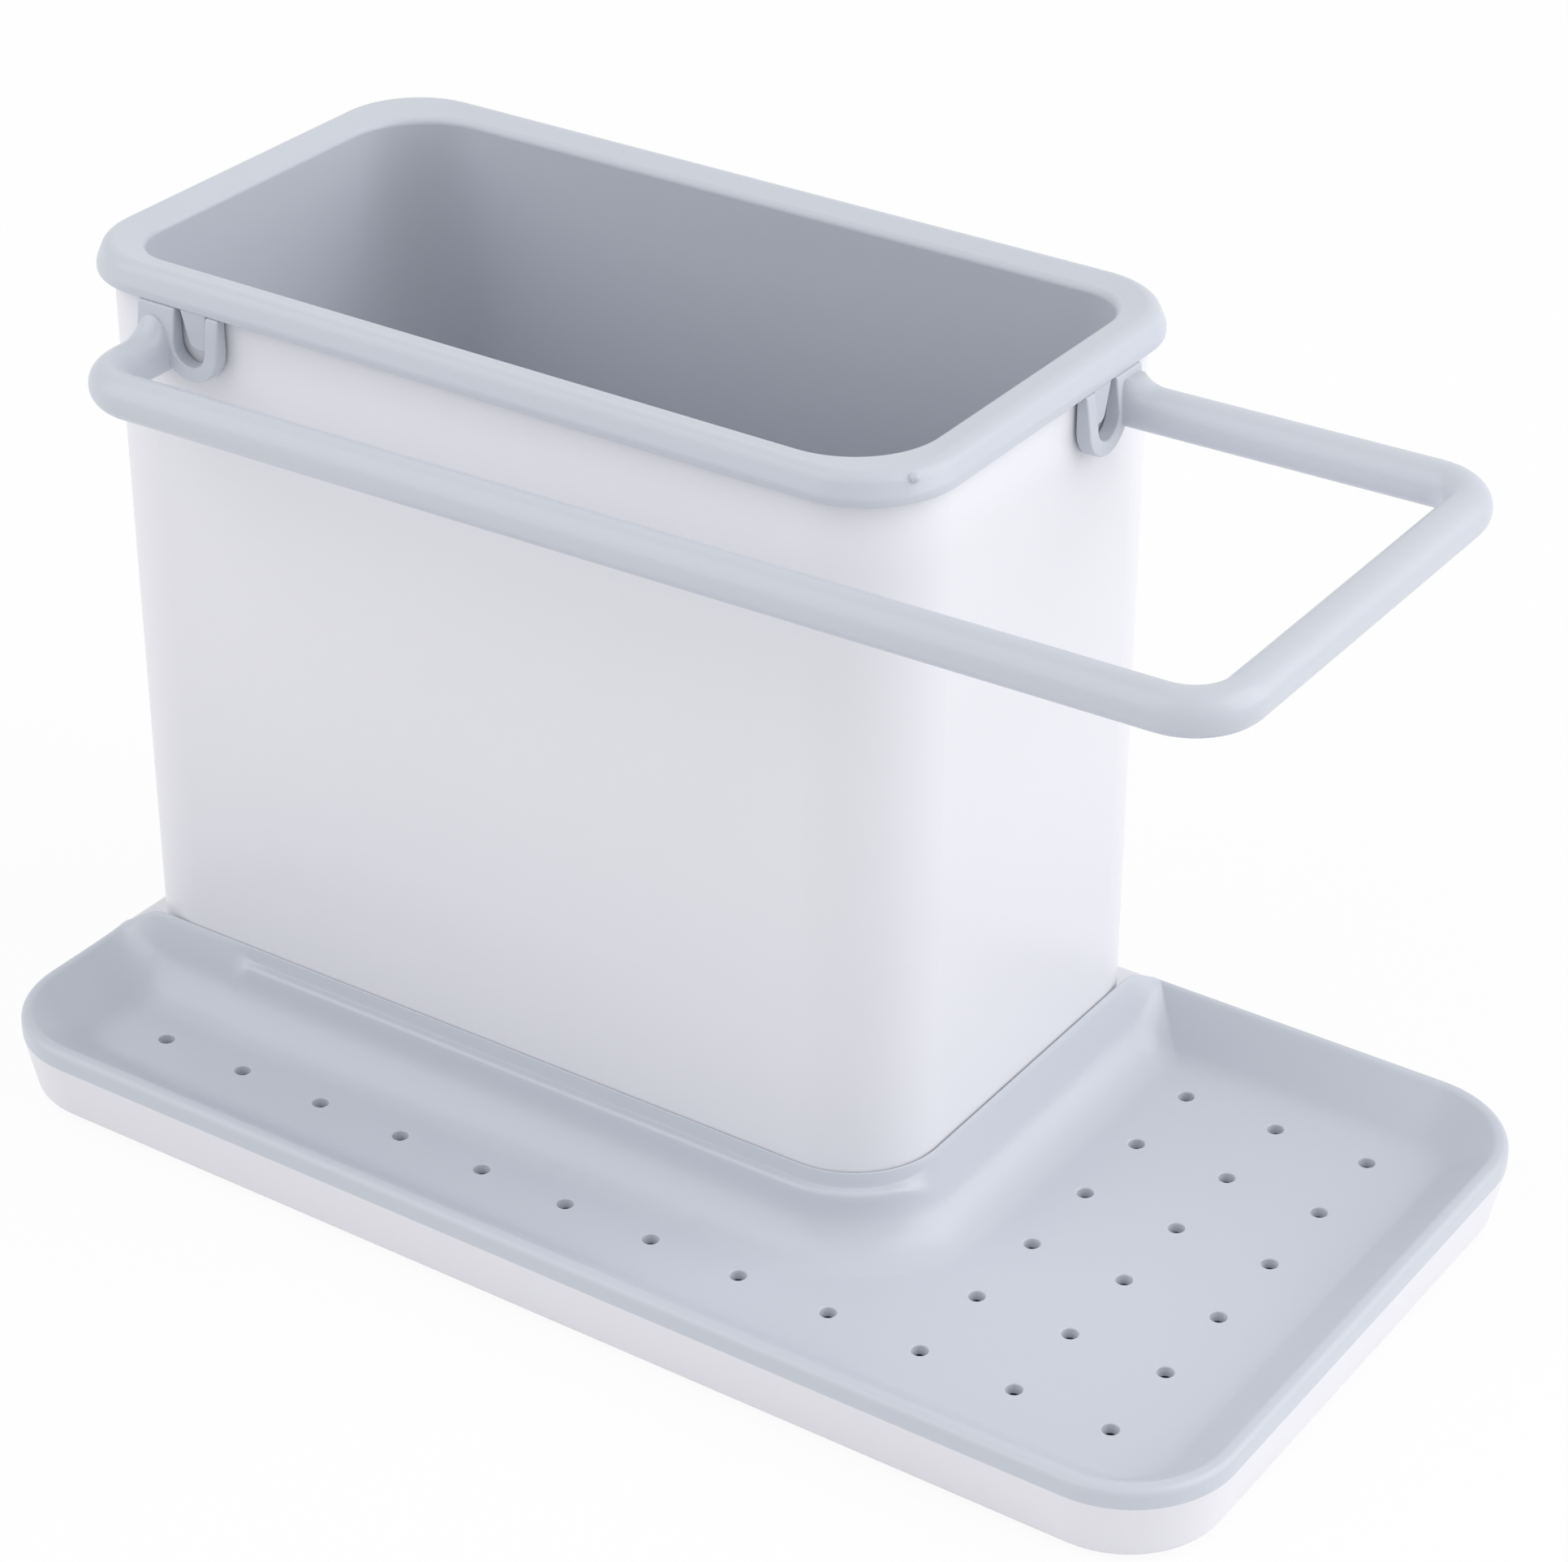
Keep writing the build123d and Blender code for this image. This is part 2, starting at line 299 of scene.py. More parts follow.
def roundedProfile(points, radii, steps):
    # puts an arc in the place of each inner point of an (inset, height) outline
    profile = [Vector(points[0])]
    for index in range(1, len(points) - 1):
        before, corner, after = (Vector(p) for p in points[index - 1:index + 2])
        radius = radii[index - 1]
        first = (before - corner).normalized()
        second = (after - corner).normalized()
        half = first.angle(second) / 2
        reach = radius / math.tan(half)
        centre = corner + (first + second).normalized() * radius / math.sin(half)
        arm = corner + first * reach - centre
        start = math.atan2(arm.y, arm.x)
        arm = corner + second * reach - centre
        turn = math.remainder(math.atan2(arm.y, arm.x) - start, 2 * math.pi)
        for step in range(steps + 1):
            angle = start + turn * step / steps
            point = centre + radius * Vector((math.cos(angle), math.sin(angle)))
            if (point - profile[-1]).length > near:
                profile.append(point)
    profile.append(Vector(points[-1]))
    return [tuple(p) for p in profile]


def insetOf(acrossX, acrossY, radius):
    # how far a point lies inside an outline, from its reach past the middle of the corner's arc
    if acrossX > 0 and acrossY > 0:
        return radius - math.hypot(acrossX, acrossY)
    return radius - max(acrossX, acrossY)


def heightAt(profile, inset):
    if inset <= profile[0][0]:
        return profile[0][1]
    for (low, lowHeight), (high, highHeight) in zip(profile, profile[1:]):
        if inset <= high:
            share = (inset - low) / (high - low) if high > low else 1
            return lowHeight + share * (highHeight - lowHeight)
    return profile[-1][1]


def useModifier(piece, kind, **settings):
    clearAll()
    piece.select_set(True)
    bpy.context.view_layer.objects.active = piece
    modifier = piece.modifiers.new(kind.lower(), kind)
    for name, value in settings.items():
        setattr(modifier, name, value)
    bpy.ops.object.modifier_apply(modifier=modifier.name)


def roundEdges(piece, width):
    useModifier(
        piece, "BEVEL", width=width, segments=edgeSteps, limit_method="ANGLE",
        angle_limit=math.radians(edgeAngle),
    )


def joinTo(piece, others):
    clearAll()
    for other in others:
        other.select_set(True)
    piece.select_set(True)
    bpy.context.view_layer.objects.active = piece
    bpy.ops.object.join()


def copiesOf(piece, moves):
    copies = []
    for move in moves:
        copy = piece.copy()
        copy.data = piece.data.copy()
        bpy.context.scene.collection.objects.link(copy)
        copy.location = move
        copies.append(copy)
    return copies


def finishPiece(piece, material, slot, body, *nodes):
    clearAll()
    piece.select_set(True)
    bpy.context.view_layer.objects.active = piece
    piece.scale = (mm, mm, mm)
    bpy.ops.object.transform_apply(location=True, rotation=True, scale=True)
    bpy.ops.object.shade_smooth_by_angle(angle=math.radians(smoothAngle))
    useModifier(piece, "WEIGHTED_NORMAL", keep_sharp=True, weight=faceWeight)
    piece.data.materials.clear()
    piece.data.materials.append(material)
    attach(piece, body)
    if nodes:
        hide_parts(*nodes)
    print(piece.name, "finished,", len(piece.data.polygons), "faces")


# places read off the frame

trayLow, trayHigh = boxOf("drain_tray")
binLow, binHigh = boxOf("brush_bin")

wallPlaces = {
    "frontY": binLow.y + 2.0,    # the tower's faces, inside the rim's overhang
    "rightX": binHigh.x - 2.0,
    "leftX": binLow.x + 20.2,    # the rail's two ends along them
    "backY": binHigh.y - 22.2,
}


def setOnWalls(left, right):
    # moves a piece from the clip's own axes to the front wall, and its mirror image to the right
    left.location = (wallPlaces["leftX"], wallPlaces["frontY"], 0)
    turn = Matrix(((0, -1, 0, 0), (-1, 0, 0, 0), (0, 0, 1, 0), (0, 0, 0, 1)))
    right.matrix_world = Matrix.Translation((wallPlaces["rightX"], wallPlaces["backY"], 0)) @ turn
    clearAll()
    for piece in (left, right):
        piece.select_set(True)
        bpy.context.view_layer.objects.active = piece
    bpy.ops.object.transform_apply(location=True, rotation=True, scale=True)
    bpy.ops.object.mode_set(mode="EDIT")
    bpy.ops.mesh.select_all(action="SELECT")
    bpy.ops.mesh.normals_make_consistent(inside=False)
    bpy.ops.object.mode_set(mode="OBJECT")


# drain tray

traySpec = {
    "cornerRadius": 18.0,
    "cornerSteps": 20,
    "towerRight": 41.25,        # the tray's own edges beside the tower
    "towerFront": -24.08,
    "towerRadius": 15.2,
    "seat": 11.2,              # underside of the lip, on the pan's wall
    "crest": 14.5,
    "floor": 7.6,
    "lip": (2.2, 8.8, 1.3, 1.6, 7.5),        # widths of crest and slope, then three rounds
    "leftLip": (1.9, 10.6, 1.3, 1.6, 8.0),   # the same at the left end
    "leftFrom": (-78.0, -102.0),             # x over which the left lip takes over
    "collarTop": 20.0,
    "collarOutline": (                       # distance from the tower, height
        (0, 0), (0, 20.0), (0.4, 20.0), (0.9, 17.7),
        (2.1, 17.5), (2.5, 16.9), (4.2, 7.6), (14, 7.6),
    ),
    "collarRounds": (0.1, 0.2, 0.2, 0.3, 0.3, 9.0),
    "plainCollar": ((0, 0), (0, 20.0), (0.5, 20.0), (4.4, 7.6), (14, 7.6)),
    "plainRounds": (0.1, 0.5, 9.0),
    "ledgeFrom": (-86.5, -82.0),   # x over which the ledge starts at the front
    "ledgeTo": (-9.5, -19.0),      # y over which it ends at the tower's corner
    "stripCuts": (-102.0, -97.0, -93.0, -86.5, -84.25, -82.0, -78.0),
    "endRuns": (10.5, 11.5),       # the collar comes down over these at the left and the back
    "ringGaps": (0.09, 0.35),      # least spacing of the rings close to the edges, and further in
    "closeIn": 5.0,
    "roundSteps": (7, 8),          # of the lips, of the collars
    "blank": 2.0,                  # thickness before the heights are set
    "topShare": 0.65,              # higher than this in the blank is its upper face
    "gridMiddle": 4.0,             # the cuts at the ends go no nearer to the middle
    "gridMargin": 0.5,
    "flatWithin": 0.02,            # lower than this over the floor is floor
    "underOuter": ((0, 11.2), (2.2, 11.2), (7.0, 6.0)),
    "underTower": ((0, 11.2), (1.96, 11.2), (3.46, 6.0)),
    "holeRadius": 1.3,
    "holeTaper": 0.75,
    "holeRound": 0.28,
    "drillFrom": 5.6,
    "holePitch": (16.4, 16.08),
    "firstHole": (-89.7, -39.3),
    "holeColumns": 12,
    "holeRows": 6,
    "deepFrom": 49.0,              # columns right of this have all their rows
}


def baseInset(spec, x, y):
    # how far a point lies inside the tray's outer outline
    radius = spec["cornerRadius"]
    return insetOf(abs(x) - (trayHigh.x - radius), abs(y) - (trayHigh.y - radius), radius)


def towerInset(spec, x, y):
    # how far a point lies from the tray's edge round the tower
    radius = spec["towerRadius"]
    return -insetOf(x - (spec["towerRight"] - radius), spec["towerFront"] + radius - y, radius)


def softShare(start, end, value):
    # rises smoothly from 0 at the start to 1 at the end
    share = min(1, max(0, (value - start) / (end - start)))
    return share * share * (3 - 2 * share)


def lipProfile(spec, name):
    crestWidth, slope, *rounds = spec[name]
    crest, floor = spec["crest"], spec["floor"]
    foot = crestWidth + slope
    points = ((0, spec["seat"]), (0, crest), (crestWidth, crest), (foot, floor), (2 * foot, floor))
    return roundedProfile(points, rounds, spec["roundSteps"][0])[1:-1]


def trayTop(spec, lips, collars, x, y):
    # height of the tray's upper face: the lip's, raised to the collar beside the tower
    outer = baseInset(spec, x, y)
    inner = towerInset(spec, x, y)
    atLeft = softShare(*spec["leftFrom"], x)
    lipHeight = heightAt(lips[0], outer) * (1 - atLeft) + heightAt(lips[1], outer) * atLeft
    ledged = softShare(*spec["ledgeFrom"], x) * softShare(*spec["ledgeTo"], y)
    withLedge, plain = (heightAt(collar, inner) for collar in collars)
    collarHeight = withLedge * ledged + plain * (1 - ledged)
    crest, floor, collarTop = spec["crest"], spec["floor"], spec["collarTop"]
    run = spec["endRuns"][0] if x < 0 else spec["endRuns"][1]
    share = min(1, max(0, outer / run))
    swell = 0.5 * (1 - (1 - share) ** 2) + 0.5 * softShare(0, run, outer)
    edgeDrop = crest - heightAt(lips[0], min(outer, spec["lip"][2]))
    ceiling = crest - edgeDrop + swell * (collarTop - crest)
    top = lipHeight + max(0, ceiling - lipHeight) * (collarHeight - floor) / (collarTop - floor)
    return floor if top - floor < spec["flatWithin"] else top


def isTop(spec, height):
    # on the blank's upper face, not on its sides
    return height > spec["seat"] + spec["topShare"] * spec["blank"]


def cutGrid(piece, spec, rings, atLeft):
    # squares up the faces where the collar runs into the outer lip
    middle = spec["gridMiddle"]
    reach = rings[-1] + spec["gridMargin"]
    for ring in rings[1:]:
        if atLeft:
            place = (trayLow.x + ring, spec["towerFront"] - ring)
            zone = (trayLow.x - 1, -middle, spec["towerFront"] - reach, spec["towerFront"] + 1)
        else:
            place = (spec["towerRight"] + ring, trayHigh.y - ring)
            zone = (spec["towerRight"] - 1, spec["towerRight"] + reach, middle, trayHigh.y + 1)
        low, high, front, back = zone
        for normal in ((1, 0, 0), (0, 1, 0)):
            pickFaces(piece, lambda c, n: (
                isTop(spec, c.z) and low < c.x < high and front < c.y < back
            ))
            cutAt((*place, 0), normal)


def makeTray(spec):
    clearAll()
    size = trayHigh - trayLow
    middle = (trayLow + trayHigh) / 2
    bpy.ops.mesh.primitive_plane_add(size=1, location=(middle.x, middle.y, spec["seat"]))
    bpy.context.object.scale = (size.x, size.y, 1)
    tray = editPiece("drainTray")
    right, front = spec["towerRight"], spec["towerFront"]
    for place, normal in (((right, 0, 0), (1, 0, 0)), ((0, front, 0), (0, 1, 0))):
        bpy.ops.mesh.select_all(action="SELECT")
        cutAt(place, normal)
    pickFaces(tray, lambda c, n: c.x < right and c.y > front)
    bpy.ops.mesh.delete(type="FACE")
    bpy.ops.mesh.select_all(action="SELECT")
    bpy.ops.mesh.dissolve_limited(angle_limit=math.radians(1))
    pickCorners(tray, lambda c: (
        (abs(c.x - trayLow.x) < near and abs(c.y - trayLow.y) < near)
        or abs(c.x - trayHigh.x) < near
    ))
    roundCorners(spec["cornerRadius"], spec["cornerSteps"])
    pickCorners(tray, lambda c: abs(c.x - right) < near and abs(c.y - front) < near)
    roundCorners(spec["towerRadius"], spec["cornerSteps"])
    bpy.ops.mesh.select_mode(type="FACE")
    bpy.ops.mesh.select_all(action="SELECT")
    bpy.ops.mesh.normals_make_consistent(inside=False)
    extrudeBy(0, 0, spec["blank"])
    bpy.ops.mesh.select_all(action="SELECT")
    bpy.ops.mesh.normals_make_consistent(inside=False)

    lips = [lipProfile(spec, "lip"), lipProfile(spec, "leftLip")]
    steps = spec["roundSteps"][1]
    collars = [
        roundedProfile(spec["collarOutline"], spec["collarRounds"], steps)[1:-1],
        roundedProfile(spec["plainCollar"], spec["plainRounds"], steps)[1:-1],
    ]
    closeGap, farGap = spec["ringGaps"]
    rings = [0.0]
    for ring in sorted(p[0] for p in lips[0] + lips[1] + collars[0]):
        if ring - rings[-1] > (closeGap if ring < spec["closeIn"] else farGap):
            rings.append(ring)
    pickFaces(tray, lambda c, n: n.z < -0.5)
    underRings = sorted(set(p[0] for p in spec["underOuter"] + spec["underTower"]))
    followProfile([(ring, 0) for ring in underRings], False)
    pickFaces(tray, lambda c, n: n.z > 0.5)
    followProfile([(ring, 0) for ring in rings], True)
    cutGrid(tray, spec, rings, True)
    cutGrid(tray, spec, rings, False)
    for cut in spec["stripCuts"]:    # along the front, where the heights change with x
        pickFaces(tray, lambda c, n: (
            isTop(spec, c.z) and c.x < right - spec["towerRadius"] and c.y < front
        ))
        cutAt((cut, 0, 0), (1, 0, 0))
    bpy.ops.object.mode_set(mode="OBJECT")
    for corner in tray.data.vertices:
        x, y, z = corner.co
        if isTop(spec, z):
            corner.co.z = trayTop(spec, lips, collars, x, y)
        else:
            corner.co.z = max(
                heightAt(spec["underOuter"], baseInset(spec, x, y)),
                heightAt(spec["underTower"], towerInset(spec, x, y)),
            )
    return tray


def drainPlaces(spec):
    places = []
    for column in range(spec["holeColumns"]):
        x = spec["firstHole"][0] + column * spec["holePitch"][0]
        rows = spec["holeRows"] if x > spec["deepFrom"] else 1
        for row in range(rows):
            places.append((x, spec["firstHole"][1] + row * spec["holePitch"][1], 0))
    return places


drillSpec = {
    "sides": 28,
    "flareSteps": 5,
    "proud": 0.008,     # so that no face of it lies in the floor's own plane
    "rise": 2.0,
}


def makeDrill(spec, holed, bottom, top):
    # a round cutter that narrows downwards and opens in a small radius at the top of the hole
    radius, taper, flare = holed["holeRadius"], holed["holeTaper"], holed["holeRound"]
    clearAll()
    depth = top + spec["proud"] - flare - bottom
    bpy.ops.mesh.primitive_cylinder_add(
        vertices=spec["sides"], radius=radius, depth=depth, location=(0, 0, bottom + depth / 2)
    )
    drill = editPiece("drill")
    pickFaces(drill, lambda c, n: n.z < -0.9)
    bpy.ops.transform.resize(value=(taper, taper, 1), center_override=(0, 0, 0))
    pickFaces(drill, lambda c, n: n.z > 0.9)
    reach = radius
    level = 0
    for step in range(1, spec["flareSteps"] + 1):
        angle = math.pi / 2 * step / spec["flareSteps"]
        nextReach = radius + flare * (1 - math.cos(angle))
        nextLevel = flare * math.sin(angle)
        extrudeBy(0, 0, nextLevel - level)
        bpy.ops.transform.resize(
            value=(nextReach / reach, nextReach / reach, 1), center_override=(0, 0, 0)
        )
        reach, level = nextReach, nextLevel
    extrudeBy(0, 0, spec["rise"])
    bpy.ops.object.mode_set(mode="OBJECT")
    return drill


def drillPiece(piece, drill, places):
    copies = copiesOf(drill, places)
    joinTo(copies[0], copies[1:])
    cutter = copies[0]
    useModifier(piece, "BOOLEAN", object=cutter, operation="DIFFERENCE", solver="EXACT")
    bpy.data.objects.remove(cutter)
    bpy.data.objects.remove(drill)


tray = makeTray(traySpec)
drill = makeDrill(drillSpec, traySpec, traySpec["drillFrom"], traySpec["floor"])
drillPiece(tray, drill, drainPlaces(traySpec))
finishPiece(tray, greyPlastic, "grey_plastic", "tray", "drain_tray")


# bin with its rolled rim

binSpec = {
    "rimRadius": 15.5,
    "cornerSteps": 20,
    "rimHeight": 4.5,
    "faceRise": 1.2,           # the rim's face leans back above this
    "rimPeak": (1.5, 0.34),    # where face and top would meet: inset, height above the rim
    "rimRounds": (2.0, 2.2),
    "arcSteps": (8, 6),        # of the rim and the inside, of the outside
    "blank": 0.6,              # the rim's thickness before its profile is drawn
    "topFall": 0.7,            # from the rim's top in to the mouth
    "lowRound": 0.3,
    "lowSteps": 4,
    "mouthInset": 7.4,
    "mouthRadii": (9.0, 14.0, 9.0, 14.0),    # front left, front right, back right, back left
    "mouthRound": 1.4,         # the width that the mouth's rounding takes, then its radius
    "mouthArc": 1.33,
    "mouthDip": 0.1,
    "skirtInset": 1.7,
    "channelTop": 137.0,       # the tower's wall stands in a channel under the rim
    "wallInset": 5.4,
    "wallRadius": 11.0,
    "draft": 3.0,
    "profileEnd": 20.0,        # well past the last round, and left out
    "central": 5.0,            # a face with its middle this near the axis closes the bin
    "floorRounds": (2.0, 4.0),   # inside, outside
    "floorTop": 17.8,
    "holeRadius": 2.0,
    "holeTaper": 0.9,
    "holeRound": 0.3,
    "drillBelow": 3.0,
    "holeColumns": 7,
    "holeRows": 3,
    "holeInsets": (15.0, 16.0),
}


def bridgeTo(piece, length, depth, radii, steps, centre, height):
    # swaps the selected face for a band out to a rounded plate, then closes that
    bpy.ops.mesh.delete(type="ONLY_FACE")
    bpy.ops.mesh.select_mode(type="VERT")
    bpy.ops.mesh.select_all(action="DESELECT")
    place = (centre.x, centre.y, height)
    bpy.ops.mesh.primitive_plane_add(size=1, location=place)
    bpy.ops.transform.resize(value=(length, depth, 1), center_override=place)
    for (acrossX, acrossY), radius in zip(((-1, -1), (1, -1), (1, 1), (-1, 1)), radii):
        away = Vector((acrossX * length / 2, acrossY * depth / 2, 0))
        corner = Vector(place) + away
        pickCorners(piece, lambda c: (c - corner).length < near)
        roundCorners(radius, steps)
    pickFaces(piece, lambda c, n: (c - Vector(place)).length < 1)
    bpy.ops.mesh.delete(type="ONLY_FACE")
    pickEdges(piece, lambda a, b, faces: faces < 2)
    bpy.ops.mesh.bridge_edge_loops()
    pickEdges(piece, lambda a, b, faces: faces < 2)
    bpy.ops.mesh.edge_face_add()


def rimInset(spec, *corners):
    # how far the points lie inside the rim's outline, at most
    middle = (binLow + binHigh) / 2
    radius = spec["rimRadius"]
    reachX = binHigh.x - middle.x - radius
    reachY = binHigh.y - middle.y - radius
    return max(
        insetOf(abs(corner.x - middle.x) - reachX, abs(corner.y - middle.y) - reachY, radius)
        for corner in corners
    )


def makeBin(spec):
    clearAll()
    size = binHigh - binLow
    middle = (binLow + binHigh) / 2
    steps = spec["cornerSteps"]
    arcSteps, outerSteps = spec["arcSteps"]
    rimBottom = binHigh.z - spec["rimHeight"]

    def isCentral(place):
        return (place.xy - middle.xy).length < spec["central"]

    bpy.ops.mesh.primitive_plane_add(size=1, location=(middle.x, middle.y, rimBottom))
    bpy.context.object.scale = (size.x, size.y, 1)
    brushBin = editPiece("brushBin")
    bpy.ops.mesh.select_all(action="SELECT")
    roundCorners(spec["rimRadius"], steps)
    bpy.ops.mesh.select_mode(type="FACE")
    bpy.ops.mesh.select_all(action="SELECT")
    extrudeBy(0, 0, spec["blank"])
    bpy.ops.mesh.select_all(action="SELECT")
    bpy.ops.mesh.normals_make_consistent(inside=False)

    pickFaces(brushBin, lambda c, n: n.z > 0.5)
    mouthTop = binHigh.z - spec["topFall"]
    face = roundedProfile(
        (
            (0, rimBottom),
            (0, rimBottom + spec["faceRise"]),
            (spec["rimPeak"][0], binHigh.z + spec["rimPeak"][1]),
            (spec["mouthInset"], mouthTop),
        ),
        spec["rimRounds"],
        arcSteps,
    )[1:-1]
    followProfile([(0, rimBottom + spec["blank"])] + face, True)
    ease = spec["mouthRound"]
    mouthX = size.x - 2 * spec["mouthInset"] + 2 * ease
    mouthY = size.y - 2 * spec["mouthInset"] + 2 * ease
    mouthRadii = [radius + ease for radius in spec["mouthRadii"]]
    bridgeTo(brushBin, mouthX, mouthY, mouthRadii, steps, middle, mouthTop)
    inside = roundedProfile(
        (
            (-ease, mouthTop),
            (0, mouthTop - spec["mouthDip"]),
            (spec["draft"], spec["floorTop"]),
            (spec["profileEnd"], spec["floorTop"]),
        ),
        (spec["mouthArc"], spec["floorRounds"][0]),
        arcSteps,
    )[:-1]
    pickFaces(brushBin, lambda c, n: n.z > 0.5 and isCentral(c))
    followProfile(inside, True)

    pickFaces(brushBin, lambda c, n: n.z < -0.5)
    bpy.ops.mesh.inset(thickness=spec["skirtInset"], depth=0, use_even_offset=True)
    extrudeBy(0, 0, spec["channelTop"] - rimBottom)
    bridgeTo(
        brushBin,
        size.x - 2 * spec["wallInset"],
        size.y - 2 * spec["wallInset"],
        (spec["wallRadius"],) * 4,
        steps,
        middle,
        spec["channelTop"],
    )
    outside = roundedProfile(
        (
            (0, spec["channelTop"]),
            (spec["draft"], binLow.z),
            (spec["profileEnd"], binLow.z),
        ),
        (spec["floorRounds"][1],),
        outerSteps,
    )[:-1]
    pickFaces(brushBin, lambda c, n: abs(c.z - spec["channelTop"]) < near and isCentral(c))
    followProfile(outside, False)
    pickEdges(brushBin, lambda a, b, faces: (    # the rim's lower outer edge
        abs(a.z - rimBottom) < near and abs(b.z - rimBottom) < near and rimInset(spec, a, b) < near
    ))
    bpy.ops.mesh.bevel(offset=spec["lowRound"], segments=spec["lowSteps"], affect="EDGES")
    bpy.ops.mesh.select_all(action="SELECT")
    bpy.ops.mesh.normals_make_consistent(inside=False)
    bpy.ops.object.mode_set(mode="OBJECT")
    return brushBin


def binHoles(spec):
    size = binHigh - binLow
    middle = (binLow + binHigh) / 2
    edge = spec["wallInset"] + spec["draft"]
    reachX = size.x / 2 - edge - spec["holeInsets"][0]
    reachY = size.y / 2 - edge - spec["holeInsets"][1]
    places = []
    for column in range(spec["holeColumns"]):
        for row in range(spec["holeRows"]):
            x = middle.x + reachX * (2 * column / (spec["holeColumns"] - 1) - 1)
            y = middle.y + reachY * (2 * row / (spec["holeRows"] - 1) - 1)
            places.append((x, y, 0))
    return places


tongueSpec = {
    "right": 10.05,
    "top": 135.0,
    "tip": 128.3,
    "topWidth": 5.4,
    "tipWidth": 3.4,
    "tipRound": 1.2,
    "tipSteps": 6,
    "edgeRound": 0.3,
    "gap": 0.3,
    "thickness": 1.4,
}


def makeTongue(spec):
    # a tapered finger under the rim, in the clip's own axes
    clearAll()
    right = spec["right"]
    top = spec["top"]
    drop = top - spec["tip"]
    place = (right - spec["topWidth"] / 2, -spec["gap"] - spec["thickness"] / 2, top - drop / 2)
    bpy.ops.mesh.primitive_cube_add(size=1, location=place)
    bpy.context.object.scale = (spec["topWidth"], spec["thickness"], drop)
    tongue = editPiece("tongue")
    pickFaces(tongue, lambda c, n: n.z < -0.9)
    narrowing = spec["tipWidth"] / spec["topWidth"]
    bpy.ops.transform.resize(
        value=(narrowing, 1, 1), center_override=(right, place[1], spec["tip"])
    )
    pickEdges(tongue, lambda a, b, faces: (
        abs(a.z - spec["tip"]) < near and abs(b.z - spec["tip"]) < near and abs(a.x - b.x) < near
    ))
    bpy.ops.mesh.bevel(offset=spec["tipRound"], segments=spec["tipSteps"])
    bpy.ops.object.mode_set(mode="OBJECT")
    roundEdges(tongue, spec["edgeRound"])
    return tongue


gateSpec = {
    "angle": -29,       # degrees round the rim's front right corner
    "inset": 0.9,
    "depth": 0.85,
    "size": 0.75,
    "stretch": 1.2,
    "sides": 20,
    "rings": 12,
}


def makeGateMark(spec):
    # the little stub left where the plastic was let into the mould
    clearAll()
    angle = math.radians(spec["angle"])
    reach = binSpec["rimRadius"] - spec["inset"]
    place = (
        binHigh.x - binSpec["rimRadius"] + reach * math.cos(angle),
        binLow.y + binSpec["rimRadius"] + reach * math.sin(angle),
        binHigh.z - spec["depth"],
    )
    bpy.ops.mesh.primitive_uv_sphere_add(
        segments=spec["sides"], ring_count=spec["rings"], radius=1, location=place
    )
    bpy.context.object.scale = (spec["size"] * spec["stretch"], spec["size"], spec["size"])
    mark = editPiece("gateMark")
    bpy.ops.object.mode_set(mode="OBJECT")
    return mark


brushBin = makeBin(binSpec)
drill = makeDrill(drillSpec, binSpec, binLow.z - binSpec["drillBelow"], binSpec["floorTop"])
drillPiece(brushBin, drill, binHoles(binSpec))
leftTongue = makeTongue(tongueSpec)
rightTongue = copiesOf(leftTongue, [(0, 0, 0)])[0]
setOnWalls(leftTongue, rightTongue)
joinTo(brushBin, [leftTongue, rightTongue, makeGateMark(gateSpec)])
finishPiece(brushBin, greyPlastic, "grey_plastic", "bin", "brush_bin")


# towel rail, a bent rod with a clip on each end

railSpec = {
    "radius": 3.5,
    "steps": 32,
    "bendRadius": 8.0,
    "bendSteps": 12,
    "leftHeight": 126.4,
    "rise": 3.4,
    "frontReach": 17.5,
    "rightReach": 60.8,
    "wallGap": 0.4,
    "thickness": 2.6,
    "bandLeft": -3.15,
    "slotLeft": 4.15,
    "slotRight": 10.35,
    "legWidth": 2.5,
    "roundHeight": 128.9,
    "top": 134.48,
    "slotSteps": 16,
    "edgeRound": 0.35,
    "topLean": 1.0,            # how far the plate's top leans back to the wall
    "leanRun": 2.6,
    "rootRise": 0.8,           # how much taller the rod is where it leaves the plate
    "rootRun": 5.5,
    "rootSteps": 6,
}


